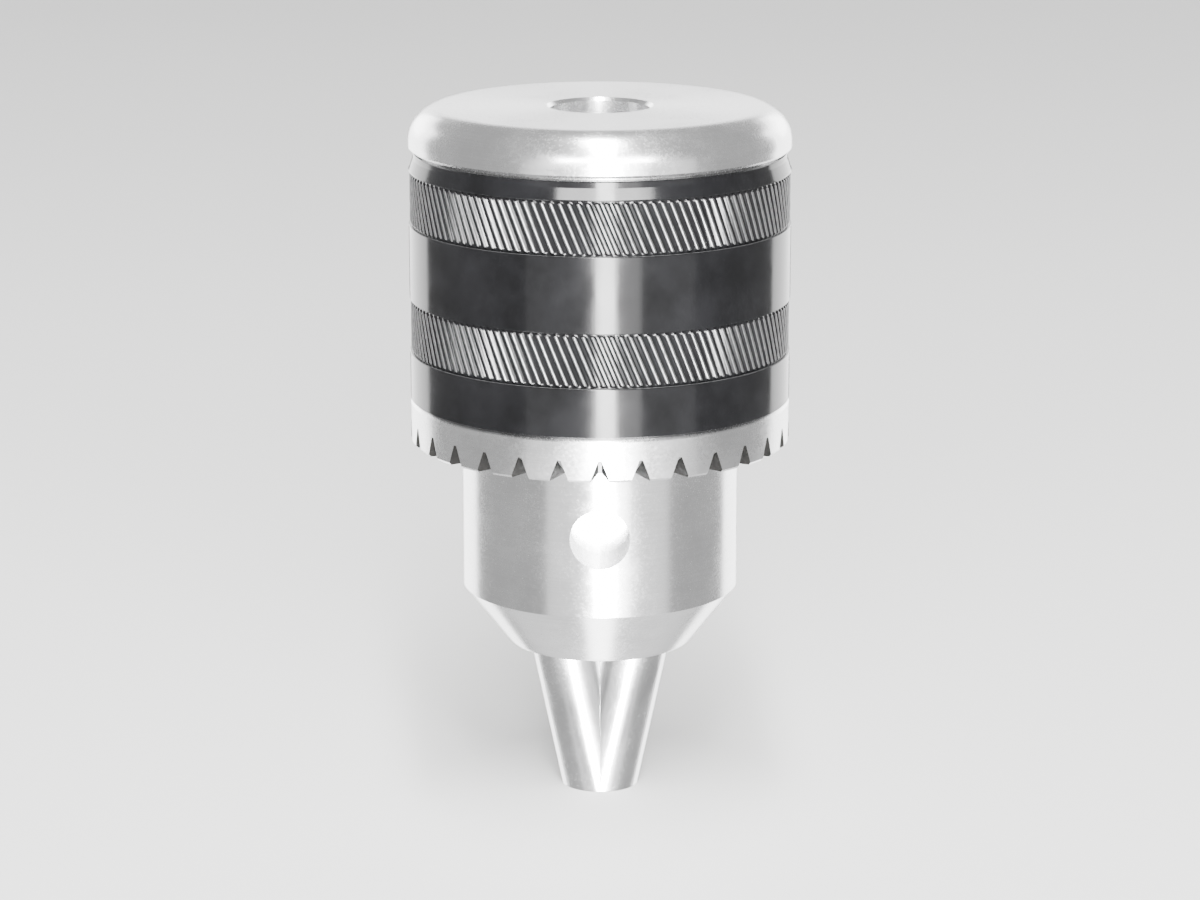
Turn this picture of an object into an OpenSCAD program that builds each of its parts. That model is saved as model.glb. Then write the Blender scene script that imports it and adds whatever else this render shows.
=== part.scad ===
// Keyed three-jaw drill chuck with a B12 taper socket.
// Millimetres. Z is the spindle axis: the rear face is at Z = 0, the jaws point to -Z.
// Each jaw rod leans outward towards the rear and is screwed along by a split conical nut.
// Shown closed: every jaw is at the front end of its travel.

/* [Overall] */
// Outside diameter of the rear flange, the sleeve and the toothed ring
chuck_d = 46; // [44:0.5:64]
// Length of the body from the rear face to the nose face
body_l = 66; // [60:0.5:82]
// How far the closed jaws stand out of the nose
jaw_reach = 19; // [12:0.5:24]

/* [Body] */
// Thickness of the rear flange
flange_t = 5; // [3:0.1:8]
// Radius on the rear edge of the flange
flange_round = 4; // [0.5:0.1:4.6]
// Gap between the rear flange and the sleeve
flange_gap = 0.4; // [0.2:0.1:2]
// Diameter of the nose
nose_d = 33.6; // [32:0.1:42]
// Diameter of the flat face at the end of the nose
nose_face_d = 23; // [20:0.1:30]
// Length of the nose from the toothed ring to the nose face
nose_l = 25.3; // [20:0.1:34]
// Length of the cone at the end of the nose
nose_cone_l = 7.1; // [3:0.1:9]
// Bore behind the jaws that takes the end of the drill shank
shank_bore_d = 13.5; // [8:0.1:15]
// Depth of the shank bore from the nose face
shank_bore_depth = 41; // [30:0.5:44]

/* [Socket] */
// Mouth diameter of the taper socket
socket_d = 12.065; // [6:0.001:17]
// Depth of the tapered part of the socket
socket_depth = 18.5; // [12:0.5:19]
// Length over which the taper loses one unit of diameter
taper_length_per_unit = 20.047; // [19:0.001:21]

/* [Jaws] */
// Diameter of the jaw rods
jaw_d = 9; // [6:0.1:10]
// Lean of each jaw rod from the spindle axis, in degrees
jaw_tilt = 13; // [11:0.5:15]
// Length of a jaw rod along its own axis
jaw_l = 53.5; // [48:0.5:60]
// Travel of a jaw along its own axis
jaw_travel = 26; // [18:0.5:30]
// Clearance round a jaw rod in its bore
jaw_clear = 0.08; // [0.03:0.01:0.1]
// Opening left between the closed jaws
closed_opening = 1.4; // [0.8:0.1:2]

/* [Thread] */
// Advance of a jaw along its own axis for one turn of the sleeve
thread_lead = 2; // [1.5:0.1:3]
// Height of the thread on the jaws
thread_h = 0.9; // [0.6:0.05:1.2]
// Height of the split nut
nut_h = 7.5; // [6:0.1:12]

/* [Sleeve] */
// Wall of the knurled sleeve
sleeve_wall = 1.5; // [1.2:0.1:3]
// Height of the toothed ring
ring_h = 5.1; // [4:0.1:8]
// Depth of the turned step that each knurl band sits in
band_depth = 0.4; // [0.2:0.05:0.8]
// Height of each knurl band
band_h = 6.5; // [4:0.1:9]
// Height of the narrow neck at the rear of the sleeve
neck_h = 0.7; // [0.2:0.1:2]
// Height of the bevel between the neck and the full diameter
sleeve_bevel = 1.5; // [0.5:0.1:3]
// Width of that bevel
bevel_w = 0.5; // [0.3:0.1:1.4]
// Plain band between the lower knurl band and the toothed ring
lower_plain_h = 6; // [3:0.1:8]
// Running clearance between the sleeve and the body
sleeve_clear = 0.06; // [0.02:0.01:0.1]

/* [Key drive] */
// Number of teeth on the ring
ring_teeth = 30; // [24:1:36]
// Depth of a tooth gap at the outside
tooth_h = 2.6; // [1.5:0.1:3.6]
// Width of a tooth gap at its mouth
tooth_gap_w = 2.4; // [1.4:0.1:3]
// Diameter of the holes that take the pilot of the key
key_hole_d = 7.2; // [5:0.1:8]
// Depth of the key holes from the side of the nose
key_hole_depth = 7; // [4:0.1:7.5]
// Distance from the toothed ring to the middle of the key holes
key_hole_drop = 8.6; // [6:0.1:12]

/* [Toothed ring] */
// Thickness of the lip of the toothed ring that runs on the nose
lip_t = 1.2; // [0.8:0.1:2]
// Wall of the toothed ring round the split nut
ring_wall = 1.5; // [1:0.1:3]

/* [Thrust bearing] */
// Diameter of the bearing balls
ball_d = 2.5; // [2:0.1:3]
// Number of bearing balls
ball_n = 24; // [8:1:24]
// Thickness of each race
race_t = 1.5; // [1:0.1:2.5]

/* [Hidden] */
$fn = 96;
edge_break = 0.3;
end_clear = 0.2;
// Main radii
chuck_r = chuck_d / 2;
nose_r = nose_d / 2;
jaw_r = jaw_d / 2;
ball_r = ball_d / 2;
sleeve_in_r = chuck_r - sleeve_wall;
body_r = sleeve_in_r - sleeve_clear;
nut_out_r = sleeve_in_r - ring_wall;
lip_in_r = nose_r + sleeve_clear;
// Levels along the spindle axis
nose_z = -body_l;
tip_z = nose_z - jaw_reach;
sleeve_top_z = -flange_t - flange_gap;
ring_bottom_z = nose_z + nose_l;
ring_top_z = ring_bottom_z + ring_h;
key_hole_z = ring_bottom_z - key_hole_drop;
groove_bottom_z = ring_bottom_z + lip_t + 0.1;
nut_bottom_z = groove_bottom_z + end_clear;
nut_top_z = nut_bottom_z + nut_h;
groove_top_z = nut_top_z + end_clear;
// Thrust bearing stack, from the nut up to the shoulder of the body
race_clear = 0.02;
race_groove = 0.3;
race_groove_r = ball_r + 0.05;
lower_race_top_z = nut_top_z + race_t;
ball_z = lower_race_top_z - race_groove + race_clear + ball_r;
upper_race_bottom_z = ball_z + ball_r + race_clear - race_groove;
shoulder_z = upper_race_bottom_z + race_t;
seat_r = nose_r + 0.4;
race_in_r = seat_r + 0.2;
race_out_r = sleeve_in_r - 0.6;
ball_circle_r = (race_in_r + race_out_r) / 2;
cage_t = 0.44 * ball_d;
cage_in_r = seat_r + 0.08;
cage_out_r = sleeve_in_r - 0.4;
ball_pocket_r = ball_r + 0.05;
// Jaw line: distance from the spindle axis as a function of height
jaw_axis_at_tip = 0.1;
jaw_bore_r = jaw_r + jaw_clear;
jaw_bore_end = jaw_l + jaw_travel + 0.4;
jaw_slope = tan(jaw_tilt);
// Thread form, measured across a jaw from the axis of its rod
crest_v = jaw_r - 1;
root_v = crest_v - thread_h;
thread_clear = 0.2;
tooth_crest_w = 0.275 * thread_lead;
gap_crest_w = thread_lead - tooth_crest_w;
gap_root_w = 0.425 * thread_lead;
gap_side = (gap_crest_w - gap_root_w) / 2 / thread_h;
rib_inset = 0.247;
rib_crest_v = root_v + thread_clear;
rib_base_v = crest_v + thread_clear;
rib_bury_v = rib_base_v + 0.5;
// The thread starts level with the nose face, so a closed jaw shows none of it
thread_start = (jaw_reach + jaw_r * sin(jaw_tilt)) / cos(jaw_tilt);
jaw_back_r = 14.8;
nut_core_r = jaw_axis_at_tip + (groove_bottom_z - tip_z) * jaw_slope + rib_crest_v / cos(jaw_tilt) - 0.5;
rib_steps = 36;
nut_split = 0.3;
// Directions round the spindle axis
jaw_az = [90, 210, 330];
key_az = [270, 30, 150];
tooth_az = 270;
// Knurl bands on the sleeve
band_1_top_z = sleeve_top_z - neck_h - sleeve_bevel;
band_2_top_z = ring_top_z + lower_plain_h + band_h;
// Tooth gap shape on the ring
gap_inner_r = chuck_r - 4.5;
gap_slope = atan(tooth_h / (chuck_r - gap_inner_r));
gap_half_w = tooth_gap_w / 2;
gap_deep = 12;

// Name of each bearing ball
function ball_name(index) = str("ball_", index < 10 ? "0" : "", index);

// A solid drawn along a jaw's own axis, put in place at one of the three directions.
module along_jaw(direction) {
    rotate([0, 0, direction])
        translate([jaw_axis_at_tip, 0, tip_z])
            rotate([0, jaw_tilt, 0])
                children();
}

// A cylinder between two heights on the spindle axis.
module disc(radius, bottom, top) {
    translate([0, 0, bottom])
        cylinder(r = radius, h = top - bottom);
}

// A flat ring between two heights on the spindle axis.
module ring(outer, inner, bottom, top) {
    difference() {
        disc(outer, bottom, top);
        disc(inner, bottom - 1, top + 1);
    }
}

// Turned outline of the body, before anything is drilled.
module body_blank() {
    rotate_extrude()
        difference() {
            polygon([
                [0, 0],
                [chuck_r, 0],
                [chuck_r, -flange_t + edge_break],
                [chuck_r - edge_break, -flange_t],
                [body_r, -flange_t],
                [body_r, shoulder_z + edge_break],
                [body_r - edge_break, shoulder_z],
                [seat_r, shoulder_z],
                [seat_r, groove_top_z],
                [nut_core_r, groove_top_z],
                [nut_core_r, groove_bottom_z],
                [nose_r - edge_break, groove_bottom_z],
                [nose_r, groove_bottom_z - edge_break],
                [nose_r, nose_z + nose_cone_l],
                [nose_face_d / 2, nose_z + edge_break],
                [nose_face_d / 2 - edge_break, nose_z],
                [0, nose_z]
            ]);
            translate([chuck_r - flange_round, -flange_round])
                difference() {
                    square([flange_round + 1, flange_round + 1]);
                    circle(r = flange_round);
                }
        }
}

// Taper socket with a lead-in at the mouth and a relief at the bottom.
module socket_space() {
    end_d = socket_d - socket_depth / taper_length_per_unit;
    rotate_extrude()
        polygon([
            [0, 1],
            [socket_d / 2 + 1.4, 1],
            [socket_d / 2 + 0.4, 0],
            [socket_d / 2, -0.4],
            [end_d / 2, -socket_depth],
            [end_d / 2 - 0.2, -socket_depth],
            [end_d / 2 - 0.2, -socket_depth - 1],
            [0, -socket_depth - 2.2]
        ]);
}

// Pilot hole for the key.
module key_hole_space(direction) {
    key_r = key_hole_d / 2;
    rotate([0, 0, direction])
        translate([nose_r - key_hole_depth, 0, key_hole_z])
            rotate([0, 90, 0])
                cylinder(r = key_r, h = key_hole_depth + 5);
}

module chuck_body() {
    color("silver")
        difference() {
            body_blank();
            socket_space();
            disc(shank_bore_d / 2, nose_z - 1, nose_z + shank_bore_depth);
            for (direction = jaw_az)
                along_jaw(direction)
                    translate([0, 0, -8])
                        cylinder(r = jaw_bore_r, h = jaw_bore_end + 8);
            for (direction = key_az)
                key_hole_space(direction);
        }
}

// Flat race with a ball track; up is 1 when the track faces the rear.
module race(bottom, up) {
    track_z = up == 1 ? bottom + race_t - race_groove + race_groove_r : bottom + race_groove - race_groove_r;
    color("gainsboro")
        difference() {
            ring(race_out_r, race_in_r, bottom, bottom + race_t);
            rotate_extrude()
                translate([ball_circle_r, track_z])
                    circle(r = race_groove_r);
        }
}

module lower_race() {
    race(nut_top_z, 1);
}

module upper_race() {
    race(upper_race_bottom_z, 0);
}

module bearing_ball(index) {
    color("white")
        rotate([0, 0, (index - 0.5) * 360 / ball_n])
            translate([ball_circle_r, 0, ball_z])
                sphere(r = ball_r, $fn = 48);
}

module ball_cage() {
    color("goldenrod")
        difference() {
            ring(cage_out_r, cage_in_r, ball_z - cage_t / 2, ball_z + cage_t / 2);
            for (index = [1 : ball_n])
                rotate([0, 0, (index - 0.5) * 360 / ball_n])
                    translate([ball_circle_r, 0, ball_z - 3])
                        cylinder(r = ball_pocket_r, h = 6);
        }
}

// Outer sleeve: plain bands with two turned-down bands for the knurl.
module sleeve_shell() {
    band_r = chuck_r - band_depth;
    color("dimgray")
        rotate_extrude()
            polygon([
                [sleeve_in_r, sleeve_top_z],
                [chuck_r - bevel_w, sleeve_top_z],
                [chuck_r - bevel_w, sleeve_top_z - neck_h],
                [chuck_r, band_1_top_z],
                [band_r, band_1_top_z - band_depth],
                [band_r, band_1_top_z - band_h + band_depth],
                [chuck_r, band_1_top_z - band_h],
                [chuck_r, band_2_top_z],
                [band_r, band_2_top_z - band_depth],
                [band_r, band_2_top_z - band_h + band_depth],
                [chuck_r, band_2_top_z - band_h],
                [chuck_r, ring_top_z + 0.3],
                [chuck_r - 0.3, ring_top_z],
                [sleeve_in_r, ring_top_z]
            ]);
}

// Gap between two teeth: a wedge whose ridge drops towards the spindle axis.
module tooth_gap() {
    translate([chuck_r, 0, ring_bottom_z + tooth_h])
        rotate([0, -gap_slope, 0])
            rotate([90, 0, 90])
                translate([0, 0, -10])
                    linear_extrude(height = 20)
                        polygon([
                            [-0.2, 0],
                            [0.2, 0],
                            [0.2 + gap_side_w(gap_deep), -gap_deep],
                            [-0.2 - gap_side_w(gap_deep), -gap_deep]
                        ]);
}

// Half width that the wedge gains over a given depth.
function gap_side_w(depth) = depth * (gap_half_w - 0.2) / (tooth_h * cos(gap_slope));

// Toothed ring pressed into the sleeve, bored for the split nut and running on the nose.
module gear_ring() {
    color("silver")
        difference() {
            rotate_extrude()
                polygon([
                    [lip_in_r, ring_bottom_z],
                    [chuck_r - 0.3, ring_bottom_z],
                    [chuck_r, ring_bottom_z + 0.3],
                    [chuck_r, ring_top_z - 0.3],
                    [chuck_r - 0.3, ring_top_z],
                    [sleeve_in_r, ring_top_z],
                    [sleeve_in_r, nut_top_z],
                    [nut_out_r, nut_top_z],
                    [nut_out_r, ring_bottom_z + lip_t],
                    [lip_in_r, ring_bottom_z + lip_t]
                ]);
            for (tooth = [0 : ring_teeth - 1])
                rotate([0, 0, tooth_az + tooth * 360 / ring_teeth])
                    tooth_gap();
        }
}

// Distance from the spindle axis of a point at u along and v across a jaw.
function jaw_point_r(u, v) = jaw_axis_at_tip + u * sin(jaw_tilt) + v * cos(jaw_tilt);

// Height of the same point.
function jaw_point_z(u, v) = tip_z + u * cos(jaw_tilt) - v * sin(jaw_tilt);

// One corner of the rib at an angle round the axis; side is -1 or 1.
function rib_corner(turn, side, v) =
    let (half_w = gap_root_w / 2 + (v - root_v) * gap_side - rib_inset)
    let (u = thread_start + turn * thread_lead + side * half_w)
    let (r = jaw_point_r(u, v))
    [r * cos(360 * turn), r * sin(360 * turn), jaw_point_z(u, v)];

// Conical right-hand rib that runs in the jaw threads.
module nut_rib() {
    first = floor((nut_bottom_z - tip_z) / cos(jaw_tilt) / thread_lead - thread_start / thread_lead) - 1;
    turns = ceil(nut_h / thread_lead / cos(jaw_tilt)) + 4;
    count = turns * rib_steps;
    corners = [
        for (i = [0 : count])
            for (k = [0 : 3])
                rib_corner(first + i / rib_steps, k == 0 || k == 3 ? -1 : 1, k < 2 ? rib_crest_v : rib_bury_v)
    ];
    sides = [
        for (i = [0 : count - 1])
            for (k = [0 : 3])
                for (half = [0, 1])
                    half == 0
                        ? [4 * i + k, 4 * i + 4 + k, 4 * i + (k + 1) % 4]
                        : [4 * i + (k + 1) % 4, 4 * i + 4 + k, 4 * i + 4 + (k + 1) % 4]
    ];
    ends = [[0, 1, 2, 3], [4 * count + 3, 4 * count + 2, 4 * count + 1, 4 * count]];
    polyhedron(points = corners, faces = concat(sides, ends));
}

// Cone that the ribs stand on, as a solid to be cut out of the nut.
module nut_cone_space() {
    low_z = nut_bottom_z - 1;
    high_z = nut_top_z + 1;
    low_r = jaw_axis_at_tip + (low_z - tip_z) * jaw_slope + rib_base_v / cos(jaw_tilt);
    high_r = jaw_axis_at_tip + (high_z - tip_z) * jaw_slope + rib_base_v / cos(jaw_tilt);
    translate([0, 0, low_z])
        cylinder(r1 = low_r, r2 = high_r, h = high_z - low_z);
}

// One half of the split nut.
module nut_half(direction) {
    color("darkgray")
        intersection() {
            union() {
                difference() {
                    disc(nut_out_r, nut_bottom_z, nut_top_z);
                    nut_cone_space();
                }
                nut_rib();
            }
            rotate([0, 0, direction])
                translate([nut_split / 2, -chuck_r, nut_bottom_z])
                    cube([chuck_r, chuck_d, nut_h]);
        }
}

module nut_half_a() {
    nut_half(30);
}

module nut_half_b() {
    nut_half(210);
}

// Threaded back of a jaw rod, as the stock to be taken away.
module jaw_thread_cut(phase) {
    first_gap = ceil((thread_start + thread_lead / 5 - phase) / thread_lead);
    last_gap = floor((jaw_l + thread_lead / 2 - phase) / thread_lead);
    translate([crest_v - jaw_back_r, 0, 0])
        rotate_extrude()
            union() {
                polygon([
                    [jaw_back_r, thread_start],
                    [jaw_back_r + 6, thread_start],
                    [jaw_back_r + 6, jaw_l + 1],
                    [jaw_back_r - 1.5, jaw_l + 1],
                    [jaw_back_r - 1.5, jaw_l],
                    [jaw_back_r, jaw_l - 1.5]
                ]);
                for (gap = [first_gap : last_gap])
                    translate([0, phase + gap * thread_lead])
                        polygon([
                            [jaw_back_r - thread_h, -gap_root_w / 2],
                            [jaw_back_r + 1, -gap_crest_w / 2 - gap_side],
                            [jaw_back_r + 1, gap_crest_w / 2 + gap_side],
                            [jaw_back_r - thread_h, gap_root_w / 2]
                        ]);
            }
}

// One jaw: a leaning rod with a wedge-shaped gripping end and a threaded back.
module jaw(direction) {
    spread = 60;
    far = 60;
    apex = 0.05;
    along = (direction / 360) * thread_lead;
    phase = thread_start + along - thread_lead * floor(along / thread_lead);
    color("lightgray")
        difference() {
            intersection() {
                along_jaw(direction)
                    translate([0, 0, -3])
                        cylinder(r = jaw_r, h = jaw_l + 3);
                rotate([0, 0, direction])
                    translate([apex, 0, tip_z])
                        linear_extrude(height = body_l + jaw_reach)
                            polygon([
                                [0, 0],
                                [far * cos(spread), -far * sin(spread)],
                                [far * 2, 0],
                                [far * cos(spread), far * sin(spread)]
                            ]);
            }
            disc(closed_opening / 2, tip_z - 1, 0);
            along_jaw(direction)
                jaw_thread_cut(phase);
        }
}

chuck_body();
upper_race();
sleeve_shell();
gear_ring();
nut_half_a();
nut_half_b();
lower_race();
ball_cage();
for (index = [1 : ball_n])
    bearing_ball(index);
jaw(jaw_az[0]);  // jaw_1
jaw(jaw_az[1]);  // jaw_2
jaw(jaw_az[2]);  // jaw_3
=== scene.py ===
"""Keyed drill chuck: knurled black sleeve, polished body, toothed ring and jaws in ground steel."""

import math

import bmesh
import bpy
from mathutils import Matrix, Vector


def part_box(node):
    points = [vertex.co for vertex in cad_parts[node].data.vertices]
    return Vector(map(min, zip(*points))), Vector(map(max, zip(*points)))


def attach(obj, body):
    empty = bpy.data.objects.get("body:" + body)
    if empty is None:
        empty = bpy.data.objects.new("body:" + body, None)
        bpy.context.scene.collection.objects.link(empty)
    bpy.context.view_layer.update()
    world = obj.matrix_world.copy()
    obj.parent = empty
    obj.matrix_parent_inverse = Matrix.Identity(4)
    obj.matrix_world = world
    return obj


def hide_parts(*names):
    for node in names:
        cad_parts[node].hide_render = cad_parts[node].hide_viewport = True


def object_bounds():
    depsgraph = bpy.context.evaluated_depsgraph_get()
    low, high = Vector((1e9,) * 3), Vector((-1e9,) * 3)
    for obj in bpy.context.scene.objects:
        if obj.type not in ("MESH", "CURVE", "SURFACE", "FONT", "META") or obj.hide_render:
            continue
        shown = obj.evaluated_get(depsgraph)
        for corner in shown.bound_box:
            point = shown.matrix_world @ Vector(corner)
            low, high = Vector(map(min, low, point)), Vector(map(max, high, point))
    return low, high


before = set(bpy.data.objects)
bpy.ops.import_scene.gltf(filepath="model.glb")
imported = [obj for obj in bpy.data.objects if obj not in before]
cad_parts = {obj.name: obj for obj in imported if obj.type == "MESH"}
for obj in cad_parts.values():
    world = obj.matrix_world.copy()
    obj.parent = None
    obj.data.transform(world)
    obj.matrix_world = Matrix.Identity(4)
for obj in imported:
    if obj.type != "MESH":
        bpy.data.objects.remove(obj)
cad_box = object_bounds()
MM = 0.001

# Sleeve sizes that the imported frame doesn't name, in millimetres as in the CAD.
SLEEVE_WALL = 1.5
NECK_HEIGHT = 0.7
SLEEVE_BEVEL = 1.5
BEVEL_WIDTH = 0.5
BAND_HEIGHT = 6.5
BAND_DEPTH = 0.4
LOWER_PLAIN = 6.0
EDGE_BREAK = 0.3
TOOTH_HEIGHT = 2.6

# Chamfer at the sleeve's rear edge.
REAR_BREAK = 0.1
# The bevel stops this far above the upper band and this far inside the outer radius.
BEVEL_END_ABOVE = 0.14
BEVEL_END_INSIDE = 0.1
# Rows this close to the ends of the neck and of the bevel keep those edges crisp in the shading.
NECK_SUPPORT = 0.06
BEVEL_SUPPORT = 0.08
# Knurl bands: chamfer at each edge, and height of the slope down to the floor of the band.
BAND_EDGE = 0.06
BAND_STEP = 0.1

# Knurl: slanted ridges, falling to the right as seen from outside.
RIDGES = 132
RIDGE_ANGLE = math.radians(67)
RIDGE_CREST_BELOW = 0.12
RIDGE_RUNOUT = 0.35
RIDGE_ROWS = 14
RIDGE_END_GAP = 0.12
# Share of one ridge's pitch, and its height from root 0 to crest 1.
RIDGE_FORM = ((0.0, 0.0), (0.16, 0.0), (0.42, 0.85), (0.5, 1.0), (0.58, 1.0), (0.66, 0.85), (0.92, 0.0))

# Edges flatter than this, in degrees, are shaded smooth.
SMOOTH_BELOW = 28


def smooth_by_angle(obj, degrees):
    """Smooth shading, with edges sharper than the angle kept crisp."""
    mesh = bmesh.new()
    mesh.from_mesh(obj.data)
    limit = math.radians(degrees)
    for face in mesh.faces:
        face.smooth = True
    for edge in mesh.edges:
        edge.smooth = len(edge.link_faces) == 2 and edge.calc_face_angle(0) < limit
    mesh.to_mesh(obj.data)
    mesh.free()


# ---------------------------------------------------------------- knurled sleeve


def sleeve_rows():
    """Rows round the sleeve from the rear inside edge, down the outside to the front inside edge.

    Each row is (height, radius, knurl height 0 to 1, how far down its band), with lengths in millimetres.
    """
    low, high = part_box("sleeve_shell")
    outer = high.x / MM
    top, bottom = high.z / MM, low.z / MM
    inner = outer - SLEEVE_WALL
    neck = top - NECK_HEIGHT
    neck_r = outer - BEVEL_WIDTH
    bevel_end_r = outer - BEVEL_END_INSIDE
    support = BEVEL_SUPPORT * (bevel_end_r - neck_r) / (SLEEVE_BEVEL - BEVEL_END_ABOVE)
    band_1 = neck - SLEEVE_BEVEL
    band_2 = bottom + LOWER_PLAIN + BAND_HEIGHT
    rows = [
        (top, inner, 0, 0),
        (top, neck_r - REAR_BREAK, 0, 0),
        (top - REAR_BREAK, neck_r, 0, 0),
        (neck + NECK_SUPPORT, neck_r, 0, 0),
        (neck, neck_r, 0, 0),
        (neck - BEVEL_SUPPORT, neck_r + support, 0, 0),
        (band_1 + BEVEL_END_ABOVE + BEVEL_SUPPORT, bevel_end_r - support, 0, 0),
        (band_1 + BEVEL_END_ABOVE, bevel_end_r, 0, 0),
    ]
    for band_top in (band_1, band_2):
        rows += band_rows(band_top, outer)
    rows += [
        (bottom + EDGE_BREAK, outer, 0, 0),
        (bottom, outer - EDGE_BREAK, 0, 0),
        (bottom, inner, 0, 0),
    ]
    return rows, outer


def band_rows(band_top, outer):
    """Rows of one knurl band: the step down, the ridges with their run-out, and the step up."""
    floor_r = outer - BAND_DEPTH
    band_bottom = band_top - BAND_HEIGHT
    first, last = band_top - RIDGE_END_GAP, band_bottom + RIDGE_END_GAP
    rows = [
        (band_top + BAND_EDGE, outer, 0, 0),
        (band_top, outer - BAND_EDGE, 0, 0),
        (band_top - BAND_STEP, floor_r, 0, 0),
    ]
    for i in range(RIDGE_ROWS + 1):
        z = first + (last - first) * i / RIDGE_ROWS
        edge = min(first - z, z - last)
        rows.append((z, floor_r, min(1, edge / RIDGE_RUNOUT), band_top - z))
    for edge in (RIDGE_RUNOUT * 0.5, RIDGE_RUNOUT):
        rows.append((first - edge, floor_r, edge / RIDGE_RUNOUT, band_top - first + edge))
        rows.append((last + edge, floor_r, edge / RIDGE_RUNOUT, band_top - last - edge))
    rows.append((band_bottom + BAND_STEP, floor_r, 0, BAND_HEIGHT))
    rows.append((band_bottom, outer - BAND_EDGE, 0, BAND_HEIGHT))
    rows.append((band_bottom - BAND_EDGE, outer, 0, BAND_HEIGHT))
    return sorted(rows, key=lambda row: -row[0])


def build_sleeve():
    """Closed shell of the sleeve with real slanted ridges in its two bands."""
    rows, outer = sleeve_rows()
    pitch = 2 * math.pi / RIDGES
    rise = BAND_DEPTH - RIDGE_CREST_BELOW
    slant = 1 / (outer * math.tan(RIDGE_ANGLE))
    points, faces = [], []
    shift = 0
    last_down = 0
    for z, radius, height, down in rows:
        # Rows outside the bands carry 0, so the turn that a band gives is kept below it.
        shift += max(0, down - last_down) * slant
        last_down = down
        for ridge in range(RIDGES):
            for share, crest in RIDGE_FORM:
                turn = (ridge + share) * pitch + shift
                r = radius + rise * height * crest
                points.append((r * MM * math.cos(turn), r * MM * math.sin(turn), z * MM))
    columns = RIDGES * len(RIDGE_FORM)
    count = len(rows)
    for i in range(count):
        below = (i + 1) % count
        for j in range(columns):
            k = (j + 1) % columns
            faces.append((i * columns + j, below * columns + j, below * columns + k, i * columns + k))
    data = bpy.data.meshes.new("sleeve_knurled")
    data.from_pydata(points, [], faces)
    data.validate()
    obj = bpy.data.objects.new("sleeve_knurled", data)
    bpy.context.scene.collection.objects.link(obj)
    smooth_by_angle(obj, SMOOTH_BELOW)
    return obj


# ---------------------------------------------------------------- materials

# Darkest and lightest tone of each finish that has its own recipe.
BLACK_TONES = ((0.002, 0.002, 0.0022), (0.0045, 0.0045, 0.005))
WORN_TONES = ((0.13, 0.13, 0.132), (0.26, 0.26, 0.262))
# The gap tones are painted shade, near-black, for the flanks of the tooth gaps.
GAP_SHADE_TONES = ((0.003, 0.003, 0.0028), (0.009, 0.0085, 0.008))
FLOOR_TONES = ((0.50, 0.50, 0.50), (0.54, 0.54, 0.535))
# The black is worn off the ridges from this far below the crest, and fully from this far, in millimetres.
WEAR_STARTS = 0.13
WEAR_FULL = 0.03


def new_material(name):
    """A node material with its Principled shader; returns the material, its node tree and the shader."""
    material = bpy.data.materials.new(name)
    material.use_nodes = True
    tree = material.node_tree
    return material, tree, tree.nodes["Principled BSDF"]


def math_node(tree, operation, *inputs):
    """A Math node fed by sockets or numbers; returns its output."""
    node = tree.nodes.new("ShaderNodeMath")
    node.operation = operation
    for socket, value in zip(node.inputs, inputs):
        if isinstance(value, (int, float)):
            socket.default_value = value
        else:
            tree.links.new(value, socket)
    return node.outputs[0]


def object_place(tree):
    """Object-space coordinates as one vector."""
    return tree.nodes.new("ShaderNodeTexCoord").outputs["Object"]


def place_parts(tree, place):
    """A place as x, y, z and its distance from the spindle axis."""
    split = tree.nodes.new("ShaderNodeSeparateXYZ")
    tree.links.new(place, split.inputs[0])
    x, y, z = split.outputs
    squares = math_node(tree, "ADD", math_node(tree, "MULTIPLY", x, x), math_node(tree, "MULTIPLY", y, y))
    return x, y, z, math_node(tree, "SQRT", squares)


def noise(tree, vector, scale, detail=3.0, roughness=0.55):
    """Noise texture on a vector; returns its value output."""
    node = tree.nodes.new("ShaderNodeTexNoise")
    node.inputs["Scale"].default_value = scale
    node.inputs["Detail"].default_value = detail
    node.inputs["Roughness"].default_value = roughness
    tree.links.new(vector, node.inputs["Vector"])
    return node.outputs[0]


def remap(tree, value, low, high, new_low, new_high):
    """A clamped Map Range; returns its output."""
    node = tree.nodes.new("ShaderNodeMapRange")
    node.inputs["From Min"].default_value = low
    node.inputs["From Max"].default_value = high
    node.inputs["To Min"].default_value = new_low
    node.inputs["To Max"].default_value = new_high
    tree.links.new(value, node.inputs["Value"])
    return node.outputs["Result"]


def mix_colour(tree, factor, dark, light):
    """A colour between two, by a factor socket."""
    node = tree.nodes.new("ShaderNodeMix")
    node.data_type = "RGBA"
    for socket, value in ((node.inputs[6], dark), (node.inputs[7], light)):
        if isinstance(value, tuple):
            socket.default_value = (*value, 1)
        else:
            tree.links.new(value, socket)
    tree.links.new(factor, node.inputs[0])
    return node.outputs[2]


def combine(tree, x, y, z):
    """A vector from three sockets."""
    node = tree.nodes.new("ShaderNodeCombineXYZ")
    for socket, value in zip(node.inputs, (x, y, z)):
        tree.links.new(value, socket)
    return node.outputs[0]


def bump(tree, shader, height, distance, strength):
    """Bump from a height socket into the shader's normal."""
    node = tree.nodes.new("ShaderNodeBump")
    node.inputs["Distance"].default_value = distance
    node.inputs["Strength"].default_value = strength
    tree.links.new(height, node.inputs["Height"])
    tree.links.new(node.outputs[0], shader.inputs["Normal"])


def turned_grain(tree, x, z, radius, per_mm):
    """Fine rings left by turning: noise that changes along and across the axis, hardly round it."""
    drift = math_node(tree, "MULTIPLY", x, 0.02)
    return noise(tree, combine(tree, radius, drift, z), scale=per_mm / MM, detail=2.0)


def ground_grain(tree, x, y, z, per_mm):
    """Fine scratches along a jaw: noise stretched along the axis."""
    along = math_node(tree, "MULTIPLY", z, 0.04)
    return noise(tree, combine(tree, x, y, along), scale=per_mm / MM)


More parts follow.
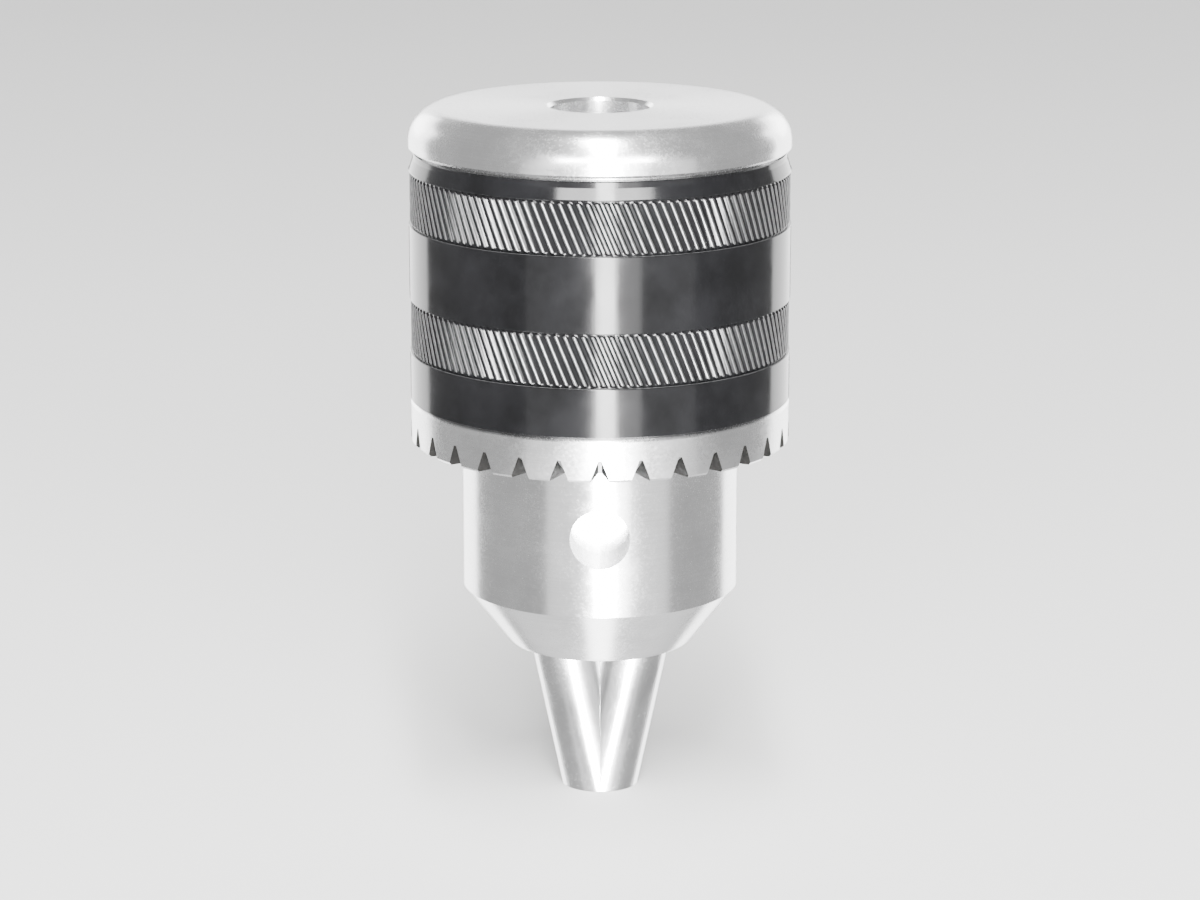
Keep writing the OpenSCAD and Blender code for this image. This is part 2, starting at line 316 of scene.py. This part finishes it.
def brush(tree, shader, amount, across):
    """Stretches the gloss, with a quarter turn where the marks run round the axis."""
    tangent = tree.nodes.new("ShaderNodeTangent")
    tangent.direction_type = "RADIAL"
    tangent.axis = "Z"
    tree.links.new(tangent.outputs[0], shader.inputs["Tangent"])
    shader.inputs["Anisotropic"].default_value = amount
    shader.inputs["Anisotropic Rotation"].default_value = 0.25 if across else 0.0


def steel(name, dark, light, rough, grain_kind="turned", per_mm=5.0, depth=0.004, stretch=0.8):
    """Bright steel with machining marks, soft handling stains and a varied gloss."""
    material, tree, shader = new_material(name)
    place = object_place(tree)
    x, y, z, radius = place_parts(tree, place)
    if grain_kind == "turned":
        grain = turned_grain(tree, x, z, radius, per_mm)
    else:
        grain = ground_grain(tree, x, y, z, per_mm)
    stains = noise(tree, place, scale=130, detail=4.0, roughness=0.6)
    specks = noise(tree, place, scale=2600, detail=2.0, roughness=0.7)
    stain_tone = remap(tree, stains, 0.35, 0.65, 0, 0.6)
    grain_tone = remap(tree, grain, 0.3, 0.7, 0, 0.4)
    tone = math_node(tree, "ADD", stain_tone, grain_tone)
    tree.links.new(mix_colour(tree, tone, dark, light), shader.inputs["Base Color"])
    stain_gloss = remap(tree, stains, 0.3, 0.7, rough * 0.8, rough * 1.2)
    speck_gloss = remap(tree, specks, 0.45, 0.75, 0, rough * 0.35)
    gloss = math_node(tree, "ADD", stain_gloss, speck_gloss)
    tree.links.new(gloss, shader.inputs["Roughness"])
    shader.inputs["Metallic"].default_value = 1.0
    brush(tree, shader, stretch, across=grain_kind == "turned")
    bump(tree, shader, grain, depth * MM, strength=0.6)
    return material


def blacked_sleeve(outer):
    """Gloss black finish, worn through to steel on the crests of the knurl."""
    material, tree, shader = new_material("sleeve_black_gloss")
    place = object_place(tree)
    x, _, z, radius = place_parts(tree, place)
    grain = turned_grain(tree, x, z, radius, per_mm=4.0)
    stains = noise(tree, place, scale=150, detail=4.0, roughness=0.6)
    worn = noise(tree, place, scale=900, roughness=0.65)
    low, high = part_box("sleeve_shell")
    crest = outer - RIDGE_CREST_BELOW
    in_bands = knurl_mask(tree, z, high.z, low.z)
    on_crest = remap(tree, radius, (crest - WEAR_STARTS) * MM, (crest - WEAR_FULL) * MM, 0, 1)
    on_ridges = math_node(tree, "MULTIPLY", in_bands, on_crest)
    wear = math_node(tree, "MULTIPLY", on_ridges, remap(tree, worn, 0.25, 0.5, 0.75, 1.0))
    black = mix_colour(tree, remap(tree, stains, 0.35, 0.65, 0, 1), *BLACK_TONES)
    bright = mix_colour(tree, remap(tree, worn, 0.3, 0.7, 0, 1), *WORN_TONES)
    tree.links.new(mix_colour(tree, wear, black, bright), shader.inputs["Base Color"])
    tree.links.new(wear, shader.inputs["Metallic"])
    stain_gloss = remap(tree, stains, 0.3, 0.7, 0.12, 0.2)
    gloss = math_node(tree, "ADD", stain_gloss, math_node(tree, "MULTIPLY", wear, 0.16))
    tree.links.new(gloss, shader.inputs["Roughness"])
    shader.inputs["Specular IOR Level"].default_value = 0.35
    brush(tree, shader, amount=0.5, across=True)
    bump(tree, shader, grain, 0.003 * MM, strength=0.5)
    return material


def knurl_mask(tree, z, top, bottom):
    """1 inside either knurl band, 0 outside."""
    masks = []
    edge = BAND_STEP * MM
    band_1 = top - (NECK_HEIGHT + SLEEVE_BEVEL) * MM
    band_2 = bottom + (LOWER_PLAIN + BAND_HEIGHT) * MM
    for band_top in (band_1, band_2):
        band_bottom = band_top - BAND_HEIGHT * MM
        below = remap(tree, z, band_top, band_top - edge, 0, 1)
        above = remap(tree, z, band_bottom, band_bottom + edge, 0, 1)
        masks.append(math_node(tree, "MULTIPLY", below, above))
    return math_node(tree, "MAXIMUM", *masks)


def painted_gap_shade():
    """Painted shade: near-black on the flanks of the tooth gaps, lighter in patches."""
    material, tree, shader = new_material("tooth_gap_painted_shade")
    patches = noise(tree, object_place(tree), scale=1400, detail=4.0, roughness=0.65)
    dark = mix_colour(tree, remap(tree, patches, 0.35, 0.7, 0, 1), *GAP_SHADE_TONES)
    tree.links.new(dark, shader.inputs["Base Color"])
    tree.links.new(remap(tree, patches, 0.3, 0.7, 0.5, 0.75), shader.inputs["Roughness"])
    shader.inputs["Specular IOR Level"].default_value = 0.1
    bump(tree, shader, patches, 0.01 * MM, strength=0.6)
    return material


def pale_floor():
    """Plain matt pale floor."""
    material, tree, shader = new_material("floor_pale")
    cloud = noise(tree, object_place(tree), scale=3, detail=2.0)
    tree.links.new(mix_colour(tree, cloud, *FLOOR_TONES), shader.inputs["Base Color"])
    shader.inputs["Roughness"].default_value = 0.7
    return material


def dress(node, material):
    """Gives a CAD node one material all over."""
    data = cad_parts[node].data
    data.materials.clear()
    data.materials.append(material)


def darken_gaps(node, material, band, faces_sideways=0.25, faces_level=0.97):
    """Gives the flanks of the tooth gaps their own material, the painted shade: the low faces that look
    sideways.
    """
    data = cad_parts[node].data
    data.materials.append(material)
    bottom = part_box(node)[0].z
    for face in data.polygons:
        out = Vector((face.center.x, face.center.y, 0)).normalized()
        sideways = abs(face.normal.cross(out).z)
        level = abs(face.normal.z)
        if face.center.z < bottom + band and sideways > faces_sideways and level < faces_level:
            face.material_index = 1


# ---------------------------------------------------------------- pieces

sleeve = build_sleeve()
sleeve.data.materials.append(blacked_sleeve(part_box("sleeve_shell")[1].x / MM))
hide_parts("sleeve_shell")
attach(sleeve, "sleeve")

body_steel = steel("body_polished", (0.74, 0.74, 0.745), (0.88, 0.88, 0.885), rough=0.24, stretch=0.6)
ring_steel = steel("ring_polished", (0.70, 0.70, 0.705), (0.84, 0.84, 0.845), rough=0.26, stretch=0.5)
jaw_steel = steel(
    "jaw_ground",
    (0.70, 0.70, 0.705),
    (0.86, 0.86, 0.865),
    rough=0.22,
    grain_kind="ground",
    per_mm=7.0,
    stretch=0.4,
)
nut_steel = steel("nut_turned", (0.30, 0.30, 0.31), (0.45, 0.45, 0.46), rough=0.35)
race_steel = steel("race_ground", (0.55, 0.55, 0.57), (0.72, 0.72, 0.74), rough=0.16)
ball_steel = steel(
    "ball_polished", (0.72, 0.72, 0.74), (0.85, 0.85, 0.87), rough=0.08, per_mm=2.0, depth=0.0005
)
cage_brass = steel("cage_brass", (0.55, 0.38, 0.14), (0.75, 0.56, 0.26), rough=0.3)

dress("chuck_body", body_steel)
dress("gear_ring", ring_steel)
# The flanks of the tooth gaps get painted shade.
darken_gaps("gear_ring", painted_gap_shade(), TOOTH_HEIGHT * MM)
dress("ball_cage", cage_brass)
for name in ("upper_race", "lower_race"):
    dress(name, race_steel)
for name in ("nut_half_a", "nut_half_b"):
    dress(name, nut_steel)
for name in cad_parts:
    if name.startswith("jaw_"):
        dress(name, jaw_steel)
    if name.startswith("ball_") and name != "ball_cage":
        dress(name, ball_steel)

# ---------------------------------------------------------------- floor, light and camera

# Gap between the jaw tips and the floor, in millimetres.
FLOOR_GAP = 0.05
WORLD_STRENGTH = 0.58
WORLD_TONE = (0.93, 0.93, 0.93, 1)
# Camera: lens and sensor in millimetres, then metres in front of the spindle axis and above the rear face.
LENS = 109
SENSOR = 36
CAMERA_BACK = 0.431
CAMERA_UP = 0.0657
# Upright strips: height as a share of their distance, and elevation in degrees.
STRIP_HEIGHT = 1.3
STRIP_ELEVATION = -8
# Each strip: name, turn and spread in degrees, distance in metres, brightness.
STRIPS = (
    ("centre_strip", 3.5, 11, 0.7, 110),
    ("centre_wing", 17.5, 13, 0.7, 6),
    ("left_rim", -146, 40, 2.2, 5),
    ("right_rim", 146, 40, 2.2, 5),
)
# Each card: name, turn and elevation in degrees, distance, width and height in metres, brightness.
CARDS = (
    ("front_wash", 7, -8, 0.7, 1.7, 0.9, 0.9),
    ("over_strip", 3.5, 66, 0.8, 0.08, 0.9, 130),
    ("bevel_box", 3, 24.5, 0.9, 0.9, 0.13, 50),
    ("rear_glow", 180, 12, 2.6, 4.2, 0.8, 3),
    ("under_strip", 0, -80, 0.8, 0.16, 1.4, 7),
    ("under_wash", 0, -84, 0.75, 1.3, 1.3, 0.8),
)


def add_floor(height, half=6.0):
    """A wide pale floor under the jaw tips. The steel doesn't mirror it, and light from below passes it."""
    data = bpy.data.meshes.new("floor")
    corners = [(-half, -half, height), (half, -half, height), (half, half, height), (-half, half, height)]
    data.from_pydata(corners, [], [(0, 1, 2, 3)])
    floor = bpy.data.objects.new("floor", data)
    floor.visible_glossy = False
    floor.visible_shadow = False
    bpy.context.scene.collection.objects.link(floor)
    data.materials.append(pale_floor())


def add_card(target, name, turn, elevation, distance, width, height, brightness):
    """A soft rectangular light, unseen by the camera. Turn 0 is the front, positive to the right."""
    data = bpy.data.lights.new(name, "AREA")
    data.shape = "RECTANGLE"
    data.size, data.size_y = width, height
    # Power of a matt surface of this size that looks this bright.
    data.energy = brightness * math.pi * width * height
    light = bpy.data.objects.new(name, data)
    light.visible_camera = False
    t, e = math.radians(turn), math.radians(elevation)
    away = Vector((math.sin(t) * math.cos(e), -math.cos(t) * math.cos(e), math.sin(e)))
    light.location = target + away * distance
    light.rotation_euler = (-away).to_track_quat("-Z", "Y").to_euler()
    bpy.context.scene.collection.objects.link(light)


def add_strip(target, name, turn, spread, distance, brightness):
    """A tall upright card that covers an angle round the object, seen in its polished sides."""
    width, height = distance * math.radians(spread), distance * STRIP_HEIGHT
    add_card(target, name, turn, STRIP_ELEVATION, distance, width, height, brightness)


def add_world(strength):
    """Even pale surroundings."""
    world = bpy.data.worlds.new("studio")
    world.use_nodes = True
    back = world.node_tree.nodes["Background"]
    back.inputs["Color"].default_value = WORLD_TONE
    back.inputs["Strength"].default_value = strength
    bpy.context.scene.world = world


def add_camera(target):
    """Stands in front and looks a little down on the rear face."""
    data = bpy.data.cameras.new("camera")
    data.lens = LENS
    data.sensor_width = SENSOR
    camera = bpy.data.objects.new("camera", data)
    camera.location = Vector((0, -CAMERA_BACK, CAMERA_UP))
    camera.rotation_euler = (target - camera.location).to_track_quat("-Z", "Y").to_euler()
    bpy.context.scene.collection.objects.link(camera)
    bpy.context.scene.camera = camera


low, high = cad_box
middle = (low + high) / 2
add_floor(low.z - FLOOR_GAP * MM)
add_world(WORLD_STRENGTH)
for strip in STRIPS:
    add_strip(middle, *strip)
for card in CARDS:
    add_card(middle, *card)
add_camera(middle)
